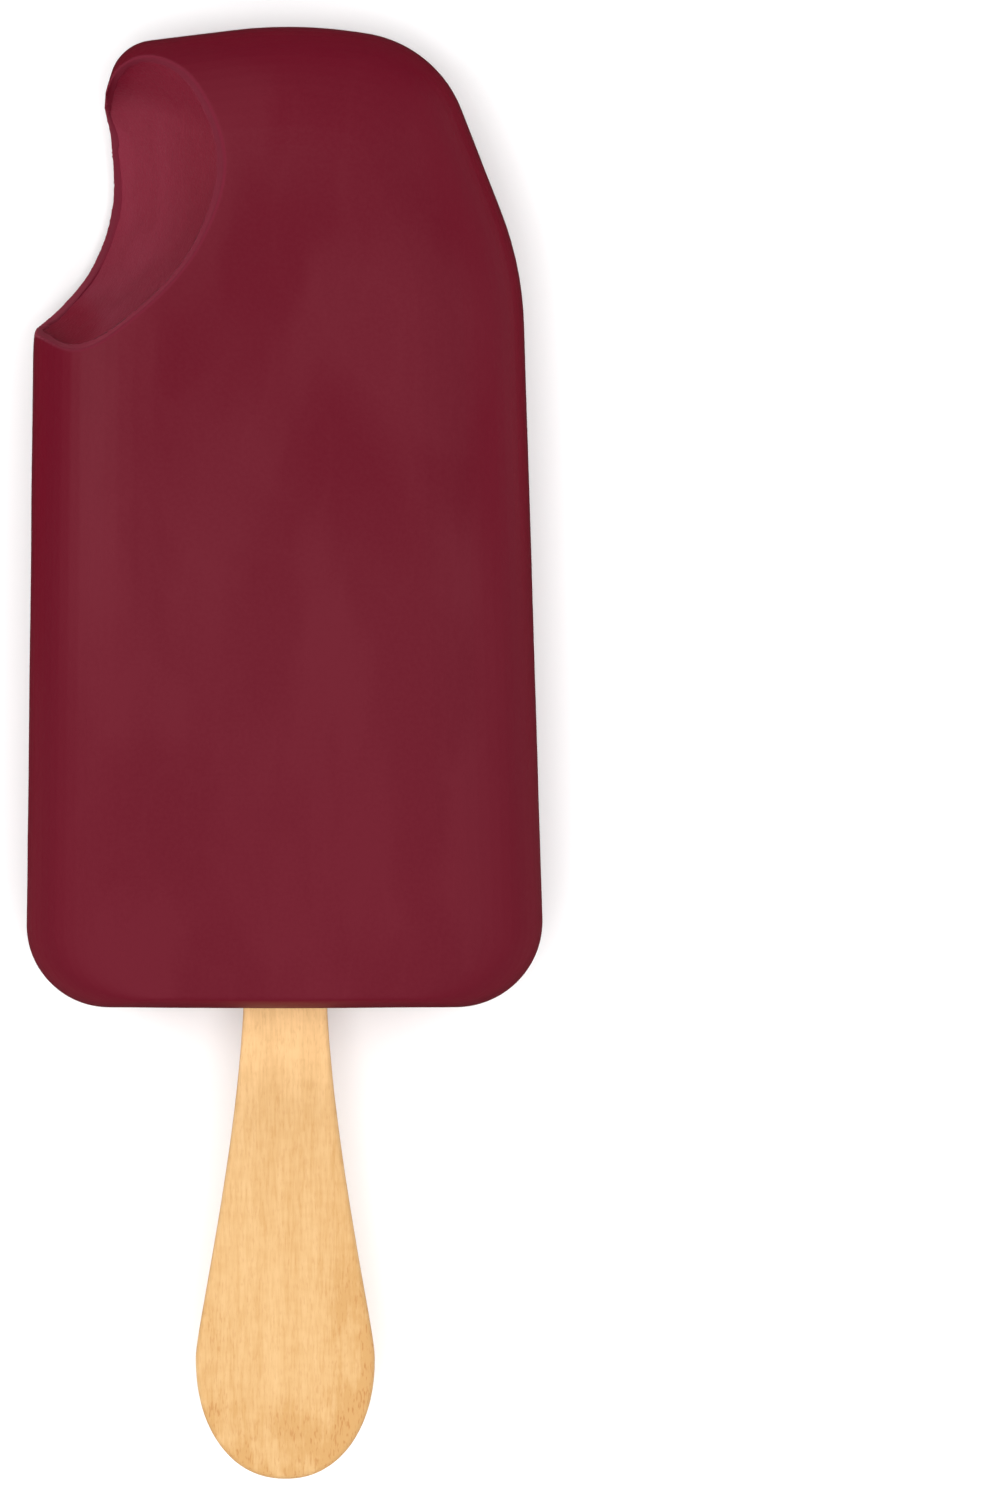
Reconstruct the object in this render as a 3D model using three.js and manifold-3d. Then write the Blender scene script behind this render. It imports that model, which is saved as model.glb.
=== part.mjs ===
// An ice pop with one bite taken: a flat frozen bar on a flat wooden stick.
// The bar is a thin shell of fruit ice round a softer core, and the bite at its upper left goes through both.
// It lies on its back with the bitten face up. Units are millimetres. +Z is up and +Y runs from the stick to the
// bar's top. The origin is under the middle of the whole pop, on the surface that it lies on.
import * as THREE from "three";
import { mergeVertices } from "three/addons/utils/BufferGeometryUtils.js";
import Module from "manifold-3d";

// The bar, seen on its face. Heights are measured up from its foot, where the stick comes out.
const BAR_LENGTH = 96.4;
const BAR_THICKNESS = 25;
const SHELL_THICKNESS = 1.7;
const EDGE_ROUNDING = 12; // how far the rounded edge reaches in from the outline
const FOOT_ROUNDING = 2; // the same at the foot, where the ice lay level in its mould
const EDGE_FULLNESS = 2.4; // 2 is an ellipse, and more is squarer
const FACE_CORNER_RADIUS = 3; // of the flat face's tightest corners
const FACE_CORNER_SHARE = 0.6; // of what is left of a wider corner's radius inside the rounded edge
const FOOT_BOW = 0.15; // how much the foot bulges in its middle

// The outline's corners, anticlockwise. Each has the radius that rounds it and the rounding of the side after it.
const BAR_CORNERS = [
  { x: 25.55, height: FOOT_BOW, radius: 8.5, rounding: EDGE_ROUNDING },
  { x: 23.3, height: 73, radius: 34, rounding: EDGE_ROUNDING },
  { x: 14.75, height: 94.85, radius: 11.9, rounding: EDGE_ROUNDING },
  { x: 0.6, height: BAR_LENGTH + 0.45, radius: 46, rounding: EDGE_ROUNDING },
  { x: -16.2, height: 94.75, radius: 4.5, rounding: EDGE_ROUNDING },
  { x: -24.75, height: 67.5, radius: 22, rounding: EDGE_ROUNDING },
  { x: -25.5, height: FOOT_BOW, radius: 8.1, rounding: FOOT_ROUNDING },
  { x: 0, height: 0, radius: 300, rounding: FOOT_ROUNDING },
];

// The bite, a slanted scoop. Both of its edges run from the bar's upper left shoulder down to its left side.
// The one towards the back is an arc, and the one on the face goes deeper.
const BITE_BACK = { x: -34.9, height: 81.65, radius: 18.2, from: 22.3, to: -56 }; // degrees
const BITE_FACE = [
  { x: -18.06, height: 88.6 },
  { x: -16.9, height: 91.4 },
  { x: -13.8, height: 93.7 },
  { x: -9.4, height: 91.7 },
  { x: -5.75, height: 83.4 },
  { x: -8.4, height: 74.5 },
  { x: -14.3, height: 68.1 },
  { x: -20.2, height: 64.6 },
  { x: -24.74, height: 66.5 },
];
const BITE_DISH = 0.4; // how much the scooped wall hollows between the two edges
const BITE_MARGIN = 3; // how far the cutting shape reaches past the bar's skin
const BITE_CLEARANCE = 22; // and past the bar's side
const BITE_END_REACH = 0.9998; // how close the two edges come to the outline, as a share of the rounded edge

// The stick, a flat paddle, which is parallel inside the bar.
const STICK_LENGTH = 93;
const STICK_OUT = 46.25; // the length that shows
const STICK_THICKNESS = 2;
const NECK_HALF_WIDTH = 4.12;
const NECK_STRETCH = 15; // the length over which the neck hardly widens
const NECK_SPREAD = 0.78; // what it widens by there, on each side
const PADDLE_HALF_WIDTH = 8.8;
const PADDLE_STRETCH = 2.9; // the length over which the paddle keeps its width
const PADDLE_END_LENGTH = 11.85; // from the widest place to the tip
const PADDLE_END_FULLNESS = 2.15;
const HIDDEN_END_LENGTH = 4;
const HIDDEN_END_FULLNESS = 2;
const STICK_EDGE_ROUNDING = 0.45;

const GAP = 0.3; // between pieces that touch

// How finely round shapes are divided.
const DEGREES_PER_STEP = 9;
const EDGE_STEPS = 6;
const BITE_STEPS = 52;
const BITE_LEVELS = 4;
const STICK_STEPS = 14;

const MIDDLE = BAR_THICKNESS / 2;
const FOOT = STICK_OUT - (BAR_LENGTH + STICK_OUT) / 2;

const wasm = await Module();
wasm.setup();

// ---- Solids ----

// A closed geometry as a solid that can be joined and cut.
function solidOf(geometry) {
  const merged = mergeVertices(geometry, 1e-4);
  return new wasm.Manifold(
    new wasm.Mesh({
      numProp: 3,
      vertProperties: merged.attributes.position.array,
      triVerts: new Uint32Array(merged.index.array),
    }),
  );
}

// The solid back as a geometry.
function geometryOf(solid) {
  const mesh = solid.getMesh();
  const geometry = new THREE.BufferGeometry();
  geometry.setAttribute("position", new THREE.BufferAttribute(mesh.vertProperties, 3));
  geometry.setIndex(new THREE.BufferAttribute(mesh.triVerts, 1));
  return geometry;
}

// Skins a stack of rings, from the lowest up. All have the same number of points and run anticlockwise.
function stackRings(rings) {
  const count = rings[0].length;
  const positions = rings.flat().flatMap((p) => [p.x, p.y, p.z]);
  const triangles = [];
  for (let level = 0; level + 1 < rings.length; level++) {
    for (let i = 0; i < count; i++) {
      const next = (i + 1) % count;
      const [a, b] = [level * count + i, level * count + next];
      const [c, d] = [b + count, a + count];
      triangles.push(a, b, c, a, c, d);
    }
  }
  const capOf = (ring) =>
    THREE.ShapeUtils.triangulateShape(ring.map((p) => new THREE.Vector2(p.x, p.y)), []);
  const top = (rings.length - 1) * count;
  capOf(rings[0]).forEach(([a, b, c]) => triangles.push(a, c, b));
  capOf(rings.at(-1)).forEach(([a, b, c]) => triangles.push(top + a, top + b, top + c));
  const geometry = new THREE.BufferGeometry();
  geometry.setAttribute("position", new THREE.Float32BufferAttribute(positions, 3));
  geometry.setIndex(triangles);
  return geometry;
}

// ---- The frozen bar ----

// The corners with every side moved in by its own inset.
function insetCorners(corners, insetOf, radiusOf) {
  const sides = corners.map((corner, i) => {
    const start = new THREE.Vector2(corner.x, corner.height);
    const end = corners[(i + 1) % corners.length];
    const along = new THREE.Vector2(end.x, end.height).sub(start).normalize();
    const inward = new THREE.Vector2(-along.y, along.x);
    return { point: start.addScaledVector(inward, insetOf(corner)), along };
  });
  return corners.map((corner, i) => {
    const before = sides.at(i - 1);
    const after = sides[i];
    const distance = after.point.clone().sub(before.point).cross(after.along) / before.along.cross(after.along);
    const moved = before.point.clone().addScaledVector(before.along, distance);
    return { x: moved.x, height: moved.y, radius: radiusOf(corner) };
  });
}

// The outline with its corners rounded. Every inset of it has the same number of points.
function roundCorners(corners) {
  return corners.flatMap((corner, i) => {
    const here = new THREE.Vector2(corner.x, corner.height);
    const before = corners.at(i - 1);
    const after = corners[(i + 1) % corners.length];
    const inward = here.clone().sub(new THREE.Vector2(before.x, before.height)).normalize();
    const outward = new THREE.Vector2(after.x, after.height).sub(here).normalize();
    const turn = Math.atan2(inward.cross(outward), inward.dot(outward));
    const steps = Math.max(2, Math.ceil(THREE.MathUtils.radToDeg(turn) / DEGREES_PER_STEP));
    const start = here.clone().addScaledVector(inward, -corner.radius * Math.tan(turn / 2));
    const centre = start.clone().add(new THREE.Vector2(-inward.y, inward.x).multiplyScalar(corner.radius));
    return Array.from({ length: steps + 1 }, (_, k) => start.clone().rotateAround(centre, (turn * k) / steps));
  });
}

// How far the skin stands off the bar's middle plane, as a share of its most, where the section has come out by
// reach from the flat face at 0 to the outline at 1.
function skinRise(reach) {
  return (1 - reach ** EDGE_FULLNESS) ** (1 / EDGE_FULLNESS);
}

// The bar's form with its skin moved in by depth: rings from the flat back, out to the outline and in to the face.
function barRings(depth) {
  const outer = roundCorners(insetCorners(BAR_CORNERS, () => depth, (corner) => corner.radius - depth));
  const face = roundCorners(insetCorners(BAR_CORNERS, (corner) => corner.rounding, faceRadius));
  const half = MIDDLE - depth;
  const rings = [];
  for (let step = -EDGE_STEPS; step <= EDGE_STEPS; step++) {
    const reach = Math.cos((step / EDGE_STEPS) * (Math.PI / 2)) ** (2 / EDGE_FULLNESS);
    const height = MIDDLE + Math.sign(step) * half * skinRise(reach);
    rings.push(
      outer.map((p, i) => {
        const across = face[i].clone().lerp(p, reach);
        return new THREE.Vector3(across.x, FOOT + across.y, height);
      }),
    );
  }
  return rings;
}

function faceRadius(corner) {
  return Math.max(FACE_CORNER_RADIUS, FACE_CORNER_SHARE * (corner.radius - EDGE_ROUNDING));
}

// ---- The bite ----

// The point of the bar's skin at a place inside its outline. side is 1 for the face and -1 for the back.
function onSkin(place, side) {
  const flat = (p) => new THREE.Vector3(p.x, p.y, 0);
  const outline = roundCorners(BAR_CORNERS);
  const distances = outline.map((start, i) => {
    const line = new THREE.Line3(flat(start), flat(outline[(i + 1) % outline.length]));
    const nearest = line.closestPointToPoint(flat(place), true, new THREE.Vector3());
    return nearest.distanceTo(flat(place));
  });
  const reach = THREE.MathUtils.clamp(1 - Math.min(...distances) / EDGE_ROUNDING, 0, BITE_END_REACH);
  return new THREE.Vector3(place.x, FOOT + place.y, MIDDLE + side * MIDDLE * skinRise(reach));
}

// What the bite takes away, as rings that follow the scooped wall from under the back to over the face. Each runs
// down the wall and closes far out at the bar's left.
function biteRings() {
  const faceEdge = new THREE.CatmullRomCurve3(BITE_FACE.map((p) => new THREE.Vector3(p.x, p.height, 0)));
  const { x, height, radius, from, to } = BITE_BACK;
  const shares = Array.from({ length: BITE_STEPS + 1 }, (_, i) => i / BITE_STEPS);
  const wall = shares.map((share) => {
    const angle = THREE.MathUtils.degToRad(THREE.MathUtils.lerp(from, to, share));
    const back = onSkin({ x: x + radius * Math.cos(angle), y: height + radius * Math.sin(angle) }, -1);
    const face = onSkin(faceEdge.getPointAt(share), 1);
    const across = face.clone().sub(back);
    const past = across.clone().add(new THREE.Vector3(0, 0, BITE_MARGIN)).setLength(BITE_MARGIN);
    const hollow = new THREE.Vector3(across.x, across.y, 0).normalize();
    hollow.multiplyScalar(BITE_DISH * Math.sin(Math.PI * share));
    const under = back.clone().sub(past).setZ(-BITE_MARGIN);
    const over = face.clone().add(past).setZ(BAR_THICKNESS + BITE_MARGIN);
    return { back, face, hollow, under, over };
  });
  const wallAt = (level) =>
    wall.map(({ back, face, hollow }) =>
      back.clone().lerp(face, level).addScaledVector(hollow, 4 * level * (1 - level)),
    );
  const rings = [wall.map(({ under }) => under)];
  for (let level = 0; level <= BITE_LEVELS; level++) {
    rings.push(wallAt(level / BITE_LEVELS));
  }
  rings.push(wall.map(({ over }) => over));
  return rings.map((ring) => {
    const far = (p) => new THREE.Vector3(-BITE_CLEARANCE - BAR_CORNERS[0].x, p.y, p.z);
    return [...ring, far(ring.at(-1)), far(ring[0])].reverse();
  });
}

// ---- The stick ----

// The right half of a rounded end, from its widest place to its tip.
function roundedEnd(halfWidth, widest, length, fullness) {
  return Array.from({ length: STICK_STEPS + 1 }, (_, step) => {
    const angle = (step / STICK_STEPS) * (Math.PI / 2);
    const across = halfWidth * Math.cos(angle) ** (2 / fullness);
    return new THREE.Vector2(across, widest + length * Math.sin(angle) ** (2 / fullness));
  });
}

// The stick's outline, anticlockwise from the tip that shows. Heights under the foot are negative. grow widens it.
function stickOutline(grow) {
  const neck = NECK_HALF_WIDTH + grow;
  const paddle = PADDLE_HALF_WIDTH + grow;
  const widest = PADDLE_END_LENGTH - STICK_OUT;
  const straightEnd = STICK_LENGTH - STICK_OUT - HIDDEN_END_LENGTH;
  const flare = new THREE.CubicBezierCurve(
    new THREE.Vector2(paddle, widest),
    new THREE.Vector2(paddle, widest + PADDLE_STRETCH),
    new THREE.Vector2(neck + NECK_SPREAD, -NECK_STRETCH),
    new THREE.Vector2(neck, 0),
  );
  const right = [
    ...roundedEnd(paddle, widest, -PADDLE_END_LENGTH - grow, PADDLE_END_FULLNESS).reverse(),
    ...flare.getPoints(STICK_STEPS).slice(1),
    ...roundedEnd(neck, straightEnd, HIDDEN_END_LENGTH + grow, HIDDEN_END_FULLNESS),
  ];
  const left = right.slice(1, -1).reverse().map((p) => new THREE.Vector2(-p.x, p.y));
  return [...right, ...left];
}

// The stick as level rings with rounded edges. grow makes the room that the bar leaves for it.
function stickRings(grow) {
  const half = STICK_THICKNESS / 2 + grow;
  const ringAt = (inset, z) =>
    stickOutline(grow - inset).map((p) => new THREE.Vector3(p.x, FOOT + p.y, MIDDLE + z));
  const flat = half - STICK_EDGE_ROUNDING;
  const slope = STICK_EDGE_ROUNDING * (1 - Math.SQRT1_2);
  return [
    ringAt(STICK_EDGE_ROUNDING, -half),
    ringAt(slope, -half + slope),
    ringAt(0, -flat),
    ringAt(0, flat),
    ringAt(slope, half - slope),
    ringAt(STICK_EDGE_ROUNDING, half),
  ];
}

// ---- Putting it together ----

const bite = solidOf(stackRings(biteRings()));
const stickRoom = solidOf(stackRings(stickRings(GAP)));
const outerForm = solidOf(stackRings(barRings(0)));
const shellInside = solidOf(stackRings(barRings(SHELL_THICKNESS)));
const coreForm = solidOf(stackRings(barRings(SHELL_THICKNESS + GAP)));

const materials = {
  shell: new THREE.MeshStandardMaterial({ color: 0x73222f, roughness: 0.45, metalness: 0 }),
  core: new THREE.MeshStandardMaterial({ color: 0x7d2a3b, roughness: 0.55, metalness: 0 }),
  stick: new THREE.MeshStandardMaterial({ color: 0xf6c789, roughness: 0.75, metalness: 0 }),
};

function namedMesh(name, geometry) {
  const mesh = new THREE.Mesh(geometry, materials[name]);
  mesh.name = name;
  return mesh;
}

const pop = new THREE.Group();
pop.add(namedMesh("shell", geometryOf(outerForm.subtract(shellInside).subtract(bite).subtract(stickRoom))));
pop.add(namedMesh("core", geometryOf(coreForm.subtract(bite).subtract(stickRoom))));
pop.add(namedMesh("stick", stackRings(stickRings(0))));

export default pop;
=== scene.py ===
# An ice pop with one bite taken: a flat bar of dark red fruit ice on a flat wooden stick, lying on its back.
# Its pieces are made in millimetres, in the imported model's frame, and are turned into metres once finished.
import cmath
import math

import bpy
import numpy as np
from mathutils import Matrix, Vector
from mathutils.bvhtree import BVHTree


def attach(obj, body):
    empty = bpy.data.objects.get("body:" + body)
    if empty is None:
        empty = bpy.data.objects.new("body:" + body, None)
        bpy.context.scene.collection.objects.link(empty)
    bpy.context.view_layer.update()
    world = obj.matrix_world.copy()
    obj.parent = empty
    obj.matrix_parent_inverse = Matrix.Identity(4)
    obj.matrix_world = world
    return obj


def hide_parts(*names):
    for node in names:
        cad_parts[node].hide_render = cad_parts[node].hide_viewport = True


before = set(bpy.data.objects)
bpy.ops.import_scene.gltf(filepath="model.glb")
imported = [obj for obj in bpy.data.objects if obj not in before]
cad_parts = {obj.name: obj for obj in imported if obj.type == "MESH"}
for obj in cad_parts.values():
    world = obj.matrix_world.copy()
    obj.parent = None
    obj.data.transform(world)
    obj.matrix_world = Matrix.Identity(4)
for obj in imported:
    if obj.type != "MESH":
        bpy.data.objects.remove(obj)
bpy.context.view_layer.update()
scene = bpy.context.scene


# ---- The camera ----
# It hangs over the pop and looks straight down, with the stick at the bottom of its upright frame. The pop
# takes the frame's left half.
CAMERA_AIM = (0.0211, 0.0002, 0.0125)
CAMERA_LENS = 600
CAMERA_SENSOR = 36
CAMERA_REACH = 20
FRAME_HEIGHT = 0.1476  # metres of the pop's middle plane that the frame's long side takes in

camera = bpy.data.objects.new("camera", bpy.data.cameras.new("camera"))
camera.data.sensor_width = CAMERA_SENSOR
camera.data.lens = CAMERA_LENS
camera.data.clip_end = CAMERA_REACH
camera.location = CAMERA_AIM
camera.location.z += FRAME_HEIGHT * CAMERA_LENS / CAMERA_SENSOR
scene.collection.objects.link(camera)
scene.camera = camera


# ---- The shell ----
# The outer 1.7 mm of the bar: the fruit ice that freezes first, against the walls of a flat mould. It comes
# out smooth and satiny, with rounded edges and a pale frost in it. The bite has gone through it, and shows it
# as a band all round the bitten place.
MILLIMETRE = 0.001
SHELL_THICKNESS = 1.7
BAR_MIDDLE = 12.5  # height of the bar's middle plane
BAR_FOOT = -25.075  # where the bar ends and the stick comes out
EDGE_FULLNESS = 2.4  # 2 is an ellipse, and more is squarer
EDGE_ROUNDING = 12
FOOT_ROUNDING = 1.2
FACE_CORNER_RADIUS = 3
FACE_CORNER_SHARE = 0.6  # of what is left of a wider corner's radius inside the rounded edge
# Each corner of the outline, anticlockwise: its place across and above the foot, the radius that rounds it,
# and how far the rounded edge of the side after it reaches in.
BAR_CORNERS = [
    (25.55 + 0.15j, 8.5, EDGE_ROUNDING),
    (23.3 + 73j, 34, EDGE_ROUNDING),
    (14.75 + 94.85j, 11.9, EDGE_ROUNDING),
    (0.6 + 96.85j, 46, EDGE_ROUNDING),
    (-16.2 + 94.75j, 4.5, EDGE_ROUNDING),
    (-24.75 + 67.5j, 22, EDGE_ROUNDING),
    (-25.5 + 0.15j, 8.1, FOOT_ROUNDING),
    (0 + 0j, 300, FOOT_ROUNDING),
]
CORNERS, RADII, ROUNDINGS = zip(*BAR_CORNERS)


def unit(step):
    return step / abs(step)


def rounded_outline(insets, radii, degrees=3):
    """The bar's outline with every side moved in by its inset and every corner rounded."""
    along = [unit(after - here) for here, after in zip(CORNERS, CORNERS[1:] + CORNERS[:1])]
    moved = [here + 1j * way * inset for here, way, inset in zip(CORNERS, along, insets)]
    outline = []
    for i, radius in enumerate(radii):
        before, after = along[i - 1], along[i]
        apart = moved[i] - moved[i - 1]
        share = (apart.conjugate() * after).imag / (before.conjugate() * after).imag
        corner = moved[i - 1] + before * share
        turn = cmath.phase(after / before)
        start = corner - before * radius * math.tan(turn / 2)
        centre = start + 1j * before * radius
        steps = max(4, math.ceil(math.degrees(turn) / degrees))
        outline += [centre + (start - centre) * cmath.exp(1j * turn * k / steps) for k in range(steps + 1)]
    return outline


def over_foot(place, height):
    """The point at this height over a place that is counted from the middle of the bar's foot."""
    return place.real, BAR_FOOT + place.imag, height


def skin_rise(reach):
    """The share of the skin's full height, from 1 at reach 0, on the flat face, to 0 at 1, the outline."""
    return (1 - reach**EDGE_FULLNESS) ** (1 / EDGE_FULLNESS)


def form_over_rings(name, rings):
    """A closed form skinned over rings with the same number of points each."""
    count = len(rings[0])
    faces = [tuple(reversed(range(count))), tuple(range((len(rings) - 1) * count, len(rings) * count))]
    for level in range(len(rings) - 1):
        for i in range(count):
            here, after = level * count + i, level * count + (i + 1) % count
            faces.append((here, after, after + count, here + count))
    mesh = bpy.data.meshes.new(name)
    mesh.from_pydata([point for ring in rings for point in ring], [], faces)
    form = bpy.data.objects.new(name, mesh)
    scene.collection.objects.link(form)
    return form


def bar_form(name, depth, edge_steps=14):
    """The whole bar with its skin moved in by depth."""
    outer = rounded_outline([depth] * len(RADII), [radius - depth for radius in RADII])
    face_radii = [max(FACE_CORNER_RADIUS, FACE_CORNER_SHARE * (radius - EDGE_ROUNDING)) for radius in RADII]
    face = rounded_outline(ROUNDINGS, face_radii)
    rings = []
    for step in range(-edge_steps, edge_steps + 1):
        reach = math.cos(step / edge_steps * math.pi / 2) ** (2 / EDGE_FULLNESS)
        height = BAR_MIDDLE + math.copysign((BAR_MIDDLE - depth) * skin_rise(reach), step)
        rings.append([over_foot(inner + (edge - inner) * reach, height) for inner, edge in zip(face, outer)])
    return form_over_rings(name, rings)


# The bite's two edges, the one on the back and the one on the face. Both run from the upper left shoulder
# down to the left side.
BITE_BACK = [
    -17.92 + 88.5j,
    -17.76 + 87.8j,
    -17.56 + 86.9j,
    -17.37 + 85.8j,
    -17.2 + 83.6j,
    -17.08 + 81.8j,
    -17.1 + 80j,
    -17.42 + 77.9j,
    -18.14 + 75.4j,
    -19.65 + 72.25j,
    -22.2 + 69.1j,
    -24.25 + 67.2j,
    -25.2 + 66.5j,
]
BITE_FACE = [
    -17.92 + 88.5j,
    -17.72 + 89.1j,
    -17.4 + 90.1j,
    -16.45 + 92.1j,
    -13.8 + 93.45j,
    -9.5 + 91.55j,
    -5.93 + 83.3j,
    -8.5 + 74.6j,
    -14.3 + 68.1j,
    -20.2 + 64.6j,
    -25.2 + 66.5j,
]
BITE_DISH = 0.4  # how deep the wall is scooped out between its two edges
BITE_END_REACH = 0.9998  # just short of the outline, so that the two edges end a little apart in height
BAND_WIDTH = 0.95  # of the shell's cut, as seen on the face
BAND_STEP = 0.1  # the band's inner part, over which the shell drops away under the core
BACK_BAND_SHARE = 0.75  # how wide the cut shows along the back edge, against the one on the face
SHELF_DEPTH = 1  # how far the shell lies behind the teeth's cut inside the band
WALL_POINTS = np.array([0, 0.4, 0.7, 0.8, 0.9, 1.0, 1.4, 2.4])  # how far they lie in from the wall's edges
WALL_POINTS_ROOM = 6  # a wall that is narrower than this has them closer together
CUT_MARGIN = 3  # how far a cutting form stands out over the face and under the back
BITE_OUTER_SIDE = -48  # how far across a bite's form goes, well outside the bar
# What has melted off the side where the bite starts, from above it down to below it.
MELTED_SIDE = [-16.6 + 93.4j, -17.37 + 91.2j, -17.69 + 89.7j, -17.8 + 88.6j, -17.72 + 87.2j, -17.6 + 85j]
MELTED_REACH = 30  # how far out that form goes
SMOOTHING = 0.5  # how much of the way to the middle of its neighbours one pass moves a point


def even_curve(points, count, fine_steps=40):
    """Evenly spaced points on the smooth curve through these points."""
    run = [2 * points[0] - points[1], *points, 2 * points[-1] - points[-2]]
    fine = []
    shares = np.linspace(0, 1, fine_steps, endpoint=False)
    for before, start, end, after in zip(run, run[1:], run[2:], run[3:]):
        first, second, third = (abs(b - a) ** 0.5 for a, b in ((before, start), (start, end), (end, after)))
        lead = end - start + second * ((start - before) / first - (end - before) / (first + second))
        trail = end - start + second * ((after - end) / third - (after - start) / (second + third))
        bend = 3 * (end - start) - 2 * lead - trail
        twist = 2 * (start - end) + lead + trail
        fine.extend(start + lead * shares + bend * shares**2 + twist * shares**3)
    fine = np.array([*fine, points[-1]])
    travelled = np.concatenate([[0], np.cumsum(np.abs(np.diff(fine)))])
    return np.interp(np.linspace(0, travelled[-1], count), travelled, fine)


def on_skin(place, side):
    """The point of the bar's skin over a place in its outline. side is 1 for the face and -1 for the back."""
    outline = np.array(rounded_outline([0] * len(RADII), RADII))
    run = np.roll(outline, -1) - outline
    share = ((place - outline) * run.conj()).real / np.maximum(abs(run) ** 2, 1e-12)
    nearest = abs(place - outline - run * share.clip(0, 1)).min()
    reach = min(max(1 - nearest / EDGE_ROUNDING, 0), BITE_END_REACH)
    return np.array(over_foot(place, BAR_MIDDLE + side * BAR_MIDDLE * skin_rise(reach)))


def bite_form(name, depth_at, steps=180):
    """What the bite takes away. depth_at gives how far its scooped wall lies behind the teeth's own cut, at
    each distance in from the bitten edge as seen on the bar's face."""
    back_edge = even_curve(BITE_BACK, steps + 1)
    face_edge = even_curve(BITE_FACE, steps + 1)
    along = np.gradient(back_edge + face_edge)
    into_bar = 1j * along / abs(along)
    rings = [[] for _ in range(2 * len(WALL_POINTS) + 3)]
    for i, inward in enumerate(into_bar):
        push = np.array([inward.real, inward.imag, 0])
        back, face = on_skin(back_edge[i], -1), on_skin(face_edge[i], 1)
        low = WALL_POINTS / max(abs(face_edge[i] - back_edge[i]), WALL_POINTS_ROOM)
        wall = []
        for share in [*(low * BACK_BAND_SHARE), 0.5, *(1 - low[::-1])]:
            place = back_edge[i] + (face_edge[i] - back_edge[i]) * share
            inside = min(abs(face_edge - place).min(), abs(back_edge - place).min() / BACK_BAND_SHARE)
            dish = BITE_DISH * math.sin(math.pi * i / steps) * 4 * share * (1 - share)
            wall.append(back + (face - back) * share + push * (dish + depth_at(inside)))
        past = face - back + [0, 0, CUT_MARGIN]
        past *= CUT_MARGIN / np.linalg.norm(past)
        rings[0].append([*(wall[0] - past)[:2], -CUT_MARGIN])
        for ring, point in zip(rings[1:], wall):
            ring.append(point)
        rings[-1].append([*(wall[-1] + past)[:2], 2 * BAR_MIDDLE + CUT_MARGIN])
    closed = []
    for ring in rings:
        outer_side = [[BITE_OUTER_SIDE, *ring[-1][1:]], [BITE_OUTER_SIDE, *ring[0][1:]]]
        closed.append([tuple(point) for point in (ring + outer_side)[::-1]])
    return form_over_rings(name, closed)


def melted_side(name):
    edge = even_curve(MELTED_SIDE, 40)
    edge = np.array([*edge, edge[-1] - MELTED_REACH, edge[0] - MELTED_REACH])[::-1]
    heights = (-CUT_MARGIN, 2 * BAR_MIDDLE + CUT_MARGIN)
    return form_over_rings(name, [[over_foot(place, height) for place in edge] for height in heights])


def settle(piece):
    """Makes what the modifiers do to a piece its own mesh."""
    shaped = piece.evaluated_get(bpy.context.evaluated_depsgraph_get())
    mesh = bpy.data.meshes.new_from_object(shaped)
    mesh.name = piece.name
    piece.modifiers.clear()
    piece.data = mesh


def carve(piece, tool, operation="DIFFERENCE"):
    cut = piece.modifiers.new(tool.name, "BOOLEAN")
    cut.operation = operation
    cut.solver = "EXACT"
    cut.object = tool
    settle(piece)


def melt_edges(piece, voxel, passes):
    """Rebuilds a piece's surface as one even skin and lets its sharp edges soften."""
    skin = piece.modifiers.new("even_skin", "REMESH")
    skin.mode = "VOXEL"
    skin.voxel_size = voxel
    soft = piece.modifiers.new("soft_edges", "SMOOTH")
    soft.factor = SMOOTHING
    soft.iterations = passes
    settle(piece)


def soften_around(piece, centre, reach, passes):
    """Rounds a piece off further near one point."""
    nearness = piece.vertex_groups.new(name="near")
    for point in piece.data.vertices:
        share = 1 - (point.co - centre).length / reach
        if share > 0:
            nearness.add([point.index], min(1, 2 * share), "REPLACE")
    soft = piece.modifiers.new("soft_corner", "SMOOTH")
    soft.vertex_group = nearness.name
    soft.factor = SMOOTHING
    soft.iterations = passes
    settle(piece)


def unevenness(piece, name, size, height, above=0.5, detail=2):
    """Raises and lowers a piece's skin in soft lumps of this size. above is the share of their height that
    stands over the even skin."""
    lumps = bpy.data.textures.new(name, "CLOUDS")
    lumps.noise_basis = "IMPROVED_PERLIN"
    lumps.noise_scale = size
    lumps.noise_depth = detail
    raised = piece.modifiers.new(name, "DISPLACE")
    raised.texture = lumps
    raised.texture_coords = "LOCAL"
    raised.mid_level = 1 - above
    raised.strength = height
    settle(piece)


def thin_out(piece, triangles):
    """Merges points where a piece is flattest, until this many triangles are left."""
    piece.data.calc_loop_triangles()
    fewer = piece.modifiers.new("fewer_triangles", "DECIMATE")
    fewer.ratio = min(1, triangles / len(piece.data.loop_triangles))
    settle(piece)


def mark_near(piece, name, tool, reach):
    """Stores how near each point of a piece is to a form's surface: 1 on it, and 0 from reach away."""
    surface = BVHTree.FromObject(tool, bpy.context.evaluated_depsgraph_get())
    near = [max(0, 1 - surface.find_nearest(point.co)[3] / reach) for point in piece.data.vertices]
    piece.data.attributes.new(name, "FLOAT", "POINT").data.foreach_set("value", near)


def shelf_at(inside):
    """How far the shell lies behind the teeth's cut: not at all in its band, and SHELF_DEPTH inside it."""
    return np.interp(inside, [BAND_WIDTH - BAND_STEP, BAND_WIDTH], [0, SHELF_DEPTH])


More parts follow.
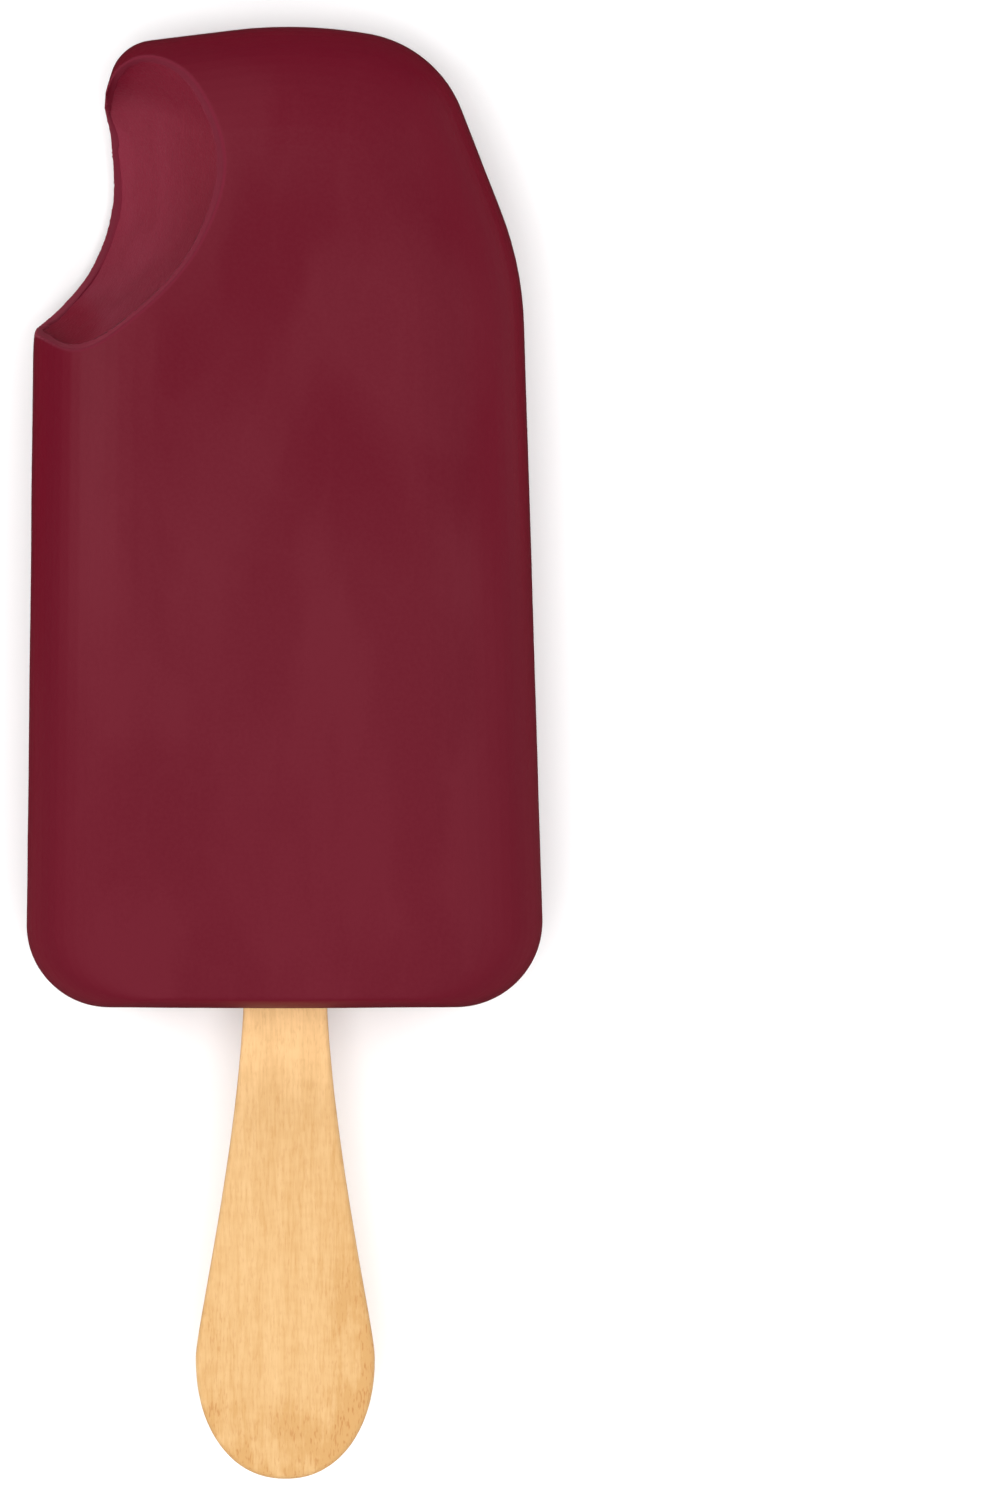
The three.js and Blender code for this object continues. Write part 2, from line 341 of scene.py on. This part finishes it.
bite_horn = Vector(over_foot(BITE_FACE[0], BAR_MIDDLE))
shell = bar_form("shell_ice", depth=0)
bite = bite_form("bite", depth_at=lambda inside: 0)
shell_bite = bite_form("shell_bite", depth_at=shelf_at)
hollow = bar_form("hollow", depth=SHELL_THICKNESS)
melted = melted_side("melted_side")
carve(shell, melted)
carve(shell, shell_bite)
melt_edges(shell, voxel=0.2, passes=4)
soften_around(shell, bite_horn, reach=3, passes=12)
unevenness(shell, "slow_waves", size=14, height=0.1)
thin_out(shell, triangles=175000)
carve(shell, hollow)
mark_near(shell, "bitten", bite, reach=0.35)


def new_group(name, inputs, outputs):
    group = bpy.data.node_groups.new(name, "ShaderNodeTree")
    for socket, value in inputs.items():
        made = group.interface.new_socket(socket, in_out="INPUT", socket_type="NodeSocketFloat")
        made.default_value = value
    for socket in outputs:
        group.interface.new_socket(socket, in_out="OUTPUT", socket_type="NodeSocketFloat")
    return group


def new_material(name):
    material = bpy.data.materials.new(name)
    material.use_nodes = True
    return material, material.node_tree, material.node_tree.nodes["Principled BSDF"]


def add(tree, kind, *links, **settings):
    """Adds a node. links are its inputs, each (name or number, value or output)."""
    node = tree.nodes.new("ShaderNode" + kind)
    for name, value in settings.items():
        setattr(node, name, value)
    for socket, value in links:
        if isinstance(value, bpy.types.NodeSocket):
            tree.links.new(value, node.inputs[socket])
        else:
            node.inputs[socket].default_value = value
    return node


def math_of(tree, operation, *values):
    return add(tree, "Math", *enumerate(values), operation=operation).outputs[0]


def vector_of(tree, operation, *values, output="Vector"):
    return add(tree, "VectorMath", *enumerate(values), operation=operation).outputs[output]


def coordinates(tree, vector):
    return add(tree, "SeparateXYZ", (0, vector)).outputs


def place_on_piece(tree):
    return add(tree, "TexCoord").outputs["Object"]


def noise(tree, place, scale, detail, **more):
    return add(tree, "TexNoise", ("Vector", place), ("Scale", scale), ("Detail", detail), *more.items())


def remap(tree, value, low, high, to_low=0.0, to_high=1.0):
    """Turns low into to_low and high into to_high, with a soft passage from one to the other."""
    links = [(0, value), (1, low), (2, high), (3, to_low), (4, to_high)]
    return add(tree, "MapRange", *links, interpolation_type="SMOOTHSTEP").outputs[0]


def blend_colours(tree, share, first, second):
    return add(tree, "Mix", (0, share), (6, first), (7, second), data_type="RGBA").outputs[2]


def add_relief(tree, surface, height, strength, distance):
    bump = add(tree, "Bump", ("Height", height), ("Strength", strength), ("Distance", distance))
    tree.links.new(bump.outputs[0], surface.inputs["Normal"])


# The pale cloudiness inside fruit ice: soft clouds drawn out along the bar, thin wisps between them, and a
# fine grain. Size is the clouds' own, in millimetres.
ice_clouds = new_group("ice_clouds", {"Size": 7.0, "Length": 1.5, "Seed": 0.0}, ["Clouds", "Wisps", "Grain"])
CLOUD_SWIRL = (1.2, 1.2, 1.2)
GRAINS_PER_METRE = 2600.0

tree = ice_clouds
given = tree.nodes.new("NodeGroupInput").outputs
place = place_on_piece(tree)
across_scale = math_of(tree, "DIVIDE", 1 / MILLIMETRE, given["Size"])
along_scale = math_of(tree, "DIVIDE", across_scale, given["Length"])
scales = add(tree, "CombineXYZ", (0, across_scale), (1, along_scale), (2, across_scale)).outputs[0]
shift = add(tree, "CombineXYZ", (2, given["Seed"])).outputs[0]
moved = vector_of(tree, "ADD", vector_of(tree, "MULTIPLY", place, scales), shift)
swirl = noise(tree, moved, scale=0.6, detail=2.0).outputs["Color"]
swirled = vector_of(tree, "MULTIPLY_ADD", swirl, CLOUD_SWIRL, moved)
clouds = noise(tree, swirled, scale=0.7, detail=2.0, Roughness=0.4).outputs[0]
wisps = noise(tree, swirled, scale=1.1, detail=1.0, Roughness=0.4).outputs[0]
ridge = math_of(tree, "ABSOLUTE", math_of(tree, "SUBTRACT", wisps, 0.5))
grain = noise(tree, place, scale=GRAINS_PER_METRE, detail=2.0).outputs[0]
taken = tree.nodes.new("NodeGroupOutput").inputs
tree.links.new(remap(tree, clouds, 0.32, 0.68), taken["Clouds"])
tree.links.new(remap(tree, ridge, 0.07, 0.0), taken["Wisps"])
tree.links.new(grain, taken["Grain"])

ICE_IOR = 1.31
ICE_SPECULAR = 0.25
SHELL_DEEP = (0.0959, 0.0029, 0.0110, 1)
SHELL_CLOUDY = (0.1110, 0.0076, 0.0167, 1)
# Painted shade and light: the edge colour is a darker, clearer red where the face's sheen is missing, and the
# rim colour is a painted glow of light coming through.
SHELL_EDGE_PAINTED_SHADE = (0.1090, 0.0018, 0.0109, 1)
SHELL_RIM_PAINTED_GLOW = (0.1420, 0.0018, 0.0120, 1)
SHELL_CUT = (0.1290, 0.0105, 0.0235, 1)
# Painted light: a brighter cut colour for the steep parts of the band, which get less light.
SHELL_STEEP_CUT_PAINTED_LIGHT = (0.1950, 0.0135, 0.0330, 1)
# Metres up the pop between which the frost thickens, towards the bar's foot and towards its top, and between
# which the skin turns duller towards the foot.
FOOT_FROST = (0.030, 0.012)
TOP_FROST = (0.050, 0.062)
DULL_FOOT = (0.035, -0.015)

shell_ice, tree, surface = new_material("shell_ice")
clouds = add(tree, "Group", ("Length", 2.2), node_tree=ice_clouds).outputs
lengthwise = coordinates(tree, place_on_piece(tree))[1]
facing = coordinates(tree, add(tree, "NewGeometry").outputs["Normal"])[2]
facing = math_of(tree, "ABSOLUTE", facing)
frost = remap(tree, clouds["Clouds"], 0, 1, 0.08, 0.65)
frost = math_of(tree, "ADD", frost, math_of(tree, "MULTIPLY", clouds["Wisps"], 0.1))
frost = math_of(tree, "ADD", frost, remap(tree, lengthwise, *FOOT_FROST, 0.0, 0.38))
frost = math_of(tree, "ADD", frost, remap(tree, lengthwise, *TOP_FROST, 0.0, 0.4))
frost = math_of(tree, "ADD", frost, remap(tree, clouds["Grain"], 0.3, 0.7, -0.12, 0.12))
colour = blend_colours(tree, frost, SHELL_DEEP, SHELL_CLOUDY)
# Painted light and shade on the rounded edges: there the face's frost, which stands partly for a painted
# sheen, gives way to a darker, clearer red, painted shade where the sheen is missing, and at the steepest
# sides to a brighter red, a painted glow of light coming through.
edge = blend_colours(tree, remap(tree, facing, 0.15, 0.65), SHELL_RIM_PAINTED_GLOW, SHELL_EDGE_PAINTED_SHADE)
colour = blend_colours(tree, remap(tree, facing, 0.58, 0.99), edge, colour)
# The bite's band is paler, and where it is steep it takes painted light, a brighter red for the light that
# the steep cut lacks.
bitten = add(tree, "Attribute", attribute_name="bitten").outputs["Fac"]
bitten = remap(tree, bitten, 0.05, 0.6)
cut = blend_colours(tree, remap(tree, facing, 0.5, 0.15), SHELL_CUT, SHELL_STEEP_CUT_PAINTED_LIGHT)
colour = blend_colours(tree, bitten, colour, cut)
tree.links.new(colour, surface.inputs["Base Color"])
rough = remap(tree, clouds["Clouds"], 0, 1, 0.29, 0.36)
rough = math_of(tree, "ADD", rough, remap(tree, lengthwise, *DULL_FOOT, 0.0, 0.3))
rough = math_of(tree, "ADD", rough, remap(tree, bitten, 0, 1, 0.0, 0.5))
tree.links.new(rough, surface.inputs["Roughness"])
add_relief(tree, surface, clouds["Grain"], strength=0.15, distance=0.0001)
surface.inputs["IOR"].default_value = ICE_IOR
surface.inputs["Specular IOR Level"].default_value = ICE_SPECULAR


def finish_piece(piece, material, slot, *nodes):
    """Turns a piece into metres, gives it its material and puts it in its nodes' place on the part."""
    piece.data.transform(Matrix.Scale(MILLIMETRE, 4))
    piece.data.shade_smooth()
    piece.data.materials.clear()
    piece.data.materials.append(material)
    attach(piece, "root")
    if nodes:
        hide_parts(*nodes)


finish_piece(shell, shell_ice, "ice_shell", "shell")


# ---- The core ----
# The softer fruit ice that fills the shell and is frozen fast to it. Only its bitten wall shows: a scooped
# slope with a fine wet grain, a little lower than the shell's cut edge, and lighter in painted light towards
# the bar's side and the bite's lower end.
CORE_SINK = 0.12  # how far the bitten wall lies behind the teeth's own cut
BITTEN_LAYER_DEPTH = 0.35  # how far under the bar's skin the core ends where the bite shows it

core = bar_form("core_ice", depth=SHELL_THICKNESS)
bitten_layer = bar_form("bitten_layer", depth=BITTEN_LAYER_DEPTH)
layer_back = bite_form("layer_back", depth_at=lambda inside: SHELF_DEPTH)
core_bite = bite_form("core_bite", depth_at=lambda inside: CORE_SINK)
carve(bitten_layer, layer_back, "INTERSECT")
carve(core, bitten_layer, "UNION")
carve(core, core_bite)
melt_edges(core, voxel=0.25, passes=2)
soften_around(core, bite_horn, reach=4, passes=10)
unevenness(core, "tooth_waves", size=5, height=0.22, above=0.3)
unevenness(core, "crushed_grain", size=0.7, height=0.05, above=0.3)
thin_out(core, triangles=150000)
for form in (hollow, melted, bite, shell_bite, bitten_layer, layer_back, core_bite):
    bpy.data.objects.remove(form)

# Painted shade: a deeper red for the bite's lower corner, which lies in a recess.
CORE_POCKET_PAINTED_SHADE = (0.1800, 0.0048, 0.0195, 1)
# Painted shade: a darker red for the top of the bite.
CORE_TOP_PAINTED_SHADE = (0.1520, 0.0072, 0.0205, 1)
CORE_DEEP = (0.1640, 0.0105, 0.0240, 1)
# Painted light: a lighter copy of the core's red.
CORE_PAINTED_LIGHT = (0.2000, 0.0180, 0.0375, 1)
POCKET = (-0.0212, 0.0417, 0)  # the lower corner of the bite
POCKET_SHADE_REACH = (0.0045, 0.0015)
# Where painted light makes the bitten wall lighter: towards the bar's side, and towards the bite's lower end,
# which gets less light.
PAINTED_LIGHT_SIDE = (-0.007, -0.0155)
PAINTED_LIGHT_END = (0.052, 0.041)
# The line above which painted shade darkens the core: how much it falls towards the right, and where it lies.
TOP_SLANT = 0.4
TOP_SHADE = (0.0570, 0.0600)

core_ice, tree, surface = new_material("core_ice")
clouds = add(tree, "Group", ("Size", 4.5), ("Length", 1.2), ("Seed", 7.0), node_tree=ice_clouds).outputs
place = place_on_piece(tree)
across, lengthwise = coordinates(tree, place)[:2]
# Painted light, varied at random by the clouds: lighter towards the bar's side and the bite's lower end.
painted_light = remap(tree, across, *PAINTED_LIGHT_SIDE)
painted_light = math_of(tree, "MAXIMUM", painted_light, remap(tree, lengthwise, *PAINTED_LIGHT_END))
painted_light = math_of(tree, "MULTIPLY", painted_light, remap(tree, clouds["Clouds"], 0, 1, 0.65, 1.1))
colour = blend_colours(tree, painted_light, CORE_DEEP, CORE_PAINTED_LIGHT)
# Painted shade in the bite's lower corner, and painted shade at its top.
flat_place = vector_of(tree, "MULTIPLY", place, (1, 1, 0))
to_pocket = vector_of(tree, "DISTANCE", flat_place, POCKET, output="Value")
colour = blend_colours(tree, remap(tree, to_pocket, *POCKET_SHADE_REACH), colour, CORE_POCKET_PAINTED_SHADE)
towards_top = math_of(tree, "ADD", lengthwise, math_of(tree, "MULTIPLY", across, TOP_SLANT))
colour = blend_colours(tree, remap(tree, towards_top, *TOP_SHADE, 0.0, 0.9), colour, CORE_TOP_PAINTED_SHADE)
tree.links.new(colour, surface.inputs["Base Color"])
add_relief(tree, surface, clouds["Grain"], strength=0.4, distance=0.0002)
surface.inputs["Roughness"].default_value = 0.5
surface.inputs["IOR"].default_value = ICE_IOR
surface.inputs["Specular IOR Level"].default_value = ICE_SPECULAR
finish_piece(core, core_ice, "ice_core", "core")


# ---- The stick ----
# A flat stick cut from 2 mm birch veneer and tumbled until its edges are round. It is parallel inside the
# bar, and widens below it into a paddle. The ice is frozen fast round its upper half.
STICK_LENGTH = 93
STICK_OUT = 46.25
STICK_EDGE_ROUNDING = 0.55
STICK_HALF_THICKNESS = 1
NECK_HALF_WIDTH = 4.12  # where it comes out of the bar
NECK_STRETCH = 15
NECK_SPREAD = 0.78
PADDLE_HALF_WIDTH = 8.8
PADDLE_STRETCH = 2.9
PADDLE_END_LENGTH = 11.85
PADDLE_END_FULLNESS = 2.15
HIDDEN_END_LENGTH = 4
HIDDEN_END_FULLNESS = 2


def rounded_end(half_width, widest, length, fullness, steps=28):
    angles = np.linspace(0, math.pi / 2, steps + 1)
    across = half_width * np.cos(angles).clip(0, 1) ** (2 / fullness)
    return across + 1j * (widest + length * np.sin(angles) ** (2 / fullness))


def stick_outline(inset, flare_steps=39):
    """The stick's outline, anticlockwise from the tip that shows."""
    neck, paddle = NECK_HALF_WIDTH - inset, PADDLE_HALF_WIDTH - inset
    widest = PADDLE_END_LENGTH - STICK_OUT
    share = np.linspace(0, 1, flare_steps + 1)[1:]
    flare = (
        (1 - share) ** 3 * (paddle + 1j * widest)
        + 3 * (1 - share) ** 2 * share * (paddle + 1j * (widest + PADDLE_STRETCH))
        + 3 * (1 - share) * share**2 * (neck + NECK_SPREAD - 1j * NECK_STRETCH)
        + share**3 * neck
    )
    tip = rounded_end(paddle, widest, inset - PADDLE_END_LENGTH, PADDLE_END_FULLNESS)[::-1]
    straight = STICK_LENGTH - STICK_OUT - HIDDEN_END_LENGTH
    hidden = rounded_end(neck, straight, HIDDEN_END_LENGTH - inset, HIDDEN_END_FULLNESS)
    right = np.concatenate([tip, flare, hidden])
    return np.concatenate([right, -right[1:-1][::-1].conj()])


def stick_form(name, edge_rings=17):
    rings = []
    for angle in np.linspace(-90, 90, edge_rings):
        lift = math.sin(math.radians(angle))
        inset = STICK_EDGE_ROUNDING * (1 - math.cos(math.radians(angle)))
        to_rounding = (STICK_HALF_THICKNESS - STICK_EDGE_ROUNDING) * np.sign(lift)
        height = BAR_MIDDLE + to_rounding + STICK_EDGE_ROUNDING * lift
        rings.append([over_foot(place, height) for place in stick_outline(inset)])
    return form_over_rings(name, rings)


stick = stick_form("stick_wood")
melt_edges(stick, voxel=0.22, passes=1)
thin_out(stick, triangles=120000)
unevenness(stick, "sanded_waves", size=6, height=0.05)

# Painted light: a paler birch for the neck by the ice, against the bar's shade on it.
BIRCH_PAINTED_LIGHT = (0.8500, 0.5450, 0.2560, 1)
BIRCH = (0.6380, 0.4050, 0.1860, 1)
BIRCH_DARK = (0.5280, 0.2960, 0.1060, 1)
BIRCH_FLECK = (0.4347, 0.1940, 0.0543, 1)
# Metres up the pop between which painted light turns the wood paler and plainer towards the ice, against the
# shade that the bar casts on it.
PAINTED_LIGHT_BY_THE_ICE = (-0.036, -0.026)
PLAIN_IN_PAINTED_LIGHT = (-0.036, -0.028)
# Where the wood is stained: out along the paddle's edges, more on its right, and at its tip.
STAINED_EDGE = (0.0025, 0.0085)
STAINED_PADDLE = (-0.042, -0.058)
STAINED_RIGHT = (-0.004, 0.004)
STAINED_TIP = (-0.0605, -0.070)
DARKER_RIGHT = (0.001, 0.006)


def drawn_noise(tree, place, size, length, detail=2.0):
    """Noise whose lumps are this wide and this long, in millimetres."""
    stretch = (1 / MILLIMETRE / size, 1 / MILLIMETRE / length, 1 / MILLIMETRE / size)
    return noise(tree, vector_of(tree, "MULTIPLY", place, stretch), scale=1.0, detail=detail).outputs[0]


birch, tree, surface = new_material("birch")
place = place_on_piece(tree)
across, lengthwise = coordinates(tree, place)[:2]
fibres = drawn_noise(tree, place, size=0.2, length=2.4, detail=3.0)
streaks = drawn_noise(tree, place, size=1.4, length=26.0)
ripple = drawn_noise(tree, place, size=2.2, length=1.0)
stains = drawn_noise(tree, place, size=2.0, length=4.0, detail=4.0)
flecks = drawn_noise(tree, place, size=0.17, length=0.8, detail=1.0)
stained = remap(tree, math_of(tree, "ABSOLUTE", across), *STAINED_EDGE)
stained = math_of(tree, "MULTIPLY", stained, remap(tree, lengthwise, *STAINED_PADDLE))
stained = math_of(tree, "MULTIPLY", stained, remap(tree, across, *STAINED_RIGHT, 0.25, 1.0))
stained = math_of(tree, "ADD", stained, remap(tree, lengthwise, *STAINED_TIP, 0.0, 0.7))
stained = math_of(tree, "MULTIPLY", stained, remap(tree, stains, 0.3, 0.65, 0.0, 1.2))
dark = remap(tree, fibres, 0.3, 0.75, 0.0, 0.5)
dark = math_of(tree, "ADD", dark, remap(tree, streaks, 0.35, 0.7, 0.0, 0.3))
dark = math_of(tree, "ADD", dark, remap(tree, ripple, 0.35, 0.7, 0.0, 0.18))
dark = math_of(tree, "ADD", dark, remap(tree, across, *DARKER_RIGHT, 0.0, 0.15))
dark = math_of(tree, "ADD", dark, stained)
# Painted light by the ice: less dark grain there, and a paler birch.
dark = math_of(tree, "MULTIPLY", dark, remap(tree, lengthwise, *PLAIN_IN_PAINTED_LIGHT, 1.0, 0.5))
pale_in_painted_light = blend_colours(tree, remap(tree, lengthwise, *PAINTED_LIGHT_BY_THE_ICE), BIRCH, BIRCH_PAINTED_LIGHT)
colour = blend_colours(tree, dark, pale_in_painted_light, BIRCH_DARK)
# Brown flecks lie in the pores, most of them where the wood is stained.
pores = remap(tree, stained, 0, 0.8, 0.2, 0.95)
pores = math_of(tree, "MULTIPLY", pores, remap(tree, flecks, 0.54, 0.72))
colour = blend_colours(tree, pores, colour, BIRCH_FLECK)
tree.links.new(colour, surface.inputs["Base Color"])
add_relief(tree, surface, fibres, strength=0.4, distance=0.0001)
surface.inputs["Roughness"].default_value = 0.7
finish_piece(stick, birch, "stick_wood", "stick")


# ---- The floor and the light ----
# A pale sheet that the pop lies on, in the even light of a big tent. Softboxes at its left, at its right and
# beyond its stick bring out its form, and the ice mirrors two glows in the tent's wall.
FLOOR_SIZE = 10
PAPER = (0.93, 0.93, 0.93, 1)
PAPER_PALE = (0.95, 0.95, 0.95, 1)

half = FLOOR_SIZE / 2
floor_mesh = bpy.data.meshes.new("floor")
sheet_corners = [(-half, -half, 0), (half, -half, 0), (half, half, 0), (-half, half, 0)]
floor_mesh.from_pydata(sheet_corners, [], [(0, 1, 2, 3)])
floor = bpy.data.objects.new("floor", floor_mesh)
scene.collection.objects.link(floor)
paper, tree, surface = new_material("paper")
mottle = add(tree, "TexNoise", ("Scale", 40.0), ("Detail", 2.0)).outputs[0]
tree.links.new(blend_colours(tree, mottle, PAPER, PAPER_PALE), surface.inputs["Base Color"])
surface.inputs["Roughness"].default_value = 0.9
surface.inputs["Specular IOR Level"].default_value = 0.1
floor_mesh.materials.append(paper)
floor.visible_glossy = False

TENT_GLOW = 0.9
# The glows: how bright each is, which way it lies, and the cosine of the angle from there at which it ends.
MIRRORED_GLOWS = [(2.3, (-0.7, 0.05, 0.71), 0.75), (0.45, (1, 0, 0.03), 0.53)]

scene.world = bpy.data.worlds.new("tent")
scene.world.use_nodes = True
tree = scene.world.node_tree
towards = add(tree, "TexCoord").outputs["Generated"]
upward = coordinates(tree, towards)[2]
mirrored = remap(tree, upward, low=-0.3, high=0.6, to_low=0.03, to_high=0.16)
for brightness, middle, end in MIRRORED_GLOWS:
    closeness = vector_of(tree, "DOT_PRODUCT", towards, middle, output="Value")
    mirrored = math_of(tree, "ADD", mirrored, remap(tree, closeness, end, 1, 0, brightness))
is_mirrored = add(tree, "LightPath").outputs["Is Glossy Ray"]
glow = add(tree, "Mix", (0, is_mirrored), (2, TENT_GLOW), (3, mirrored)).outputs[0]
tree.links.new(glow, tree.nodes["Background"].inputs["Strength"])
tree.nodes["Background"].inputs["Color"].default_value = (1, 1, 1, 1)


def softbox(name, place, aim, width, length, watts):
    light = bpy.data.lights.new(name, "AREA")
    light.shape = "RECTANGLE"
    light.size = width
    light.size_y = length
    light.energy = watts
    box = bpy.data.objects.new(name, light)
    box.location = place
    box.rotation_mode = "QUATERNION"
    box.rotation_quaternion = (box.location - aim).to_track_quat("Z", "Y")
    box.visible_camera = False
    box.visible_glossy = False
    scene.collection.objects.link(box)


under_camera = Vector((camera.location.x, camera.location.y, 0))
softbox("left_softbox", (-0.62, 0.1, 0.95), under_camera, width=0.4, length=1.2, watts=3.6)
softbox("right_softbox", (0.66, 0.1, 0.95), under_camera, width=0.4, length=1.2, watts=2.2)
softbox("front_softbox", (0.02, -0.35, 1.55), under_camera, width=0.8, length=0.8, watts=11.0)

scene.view_settings.view_transform = "Standard"
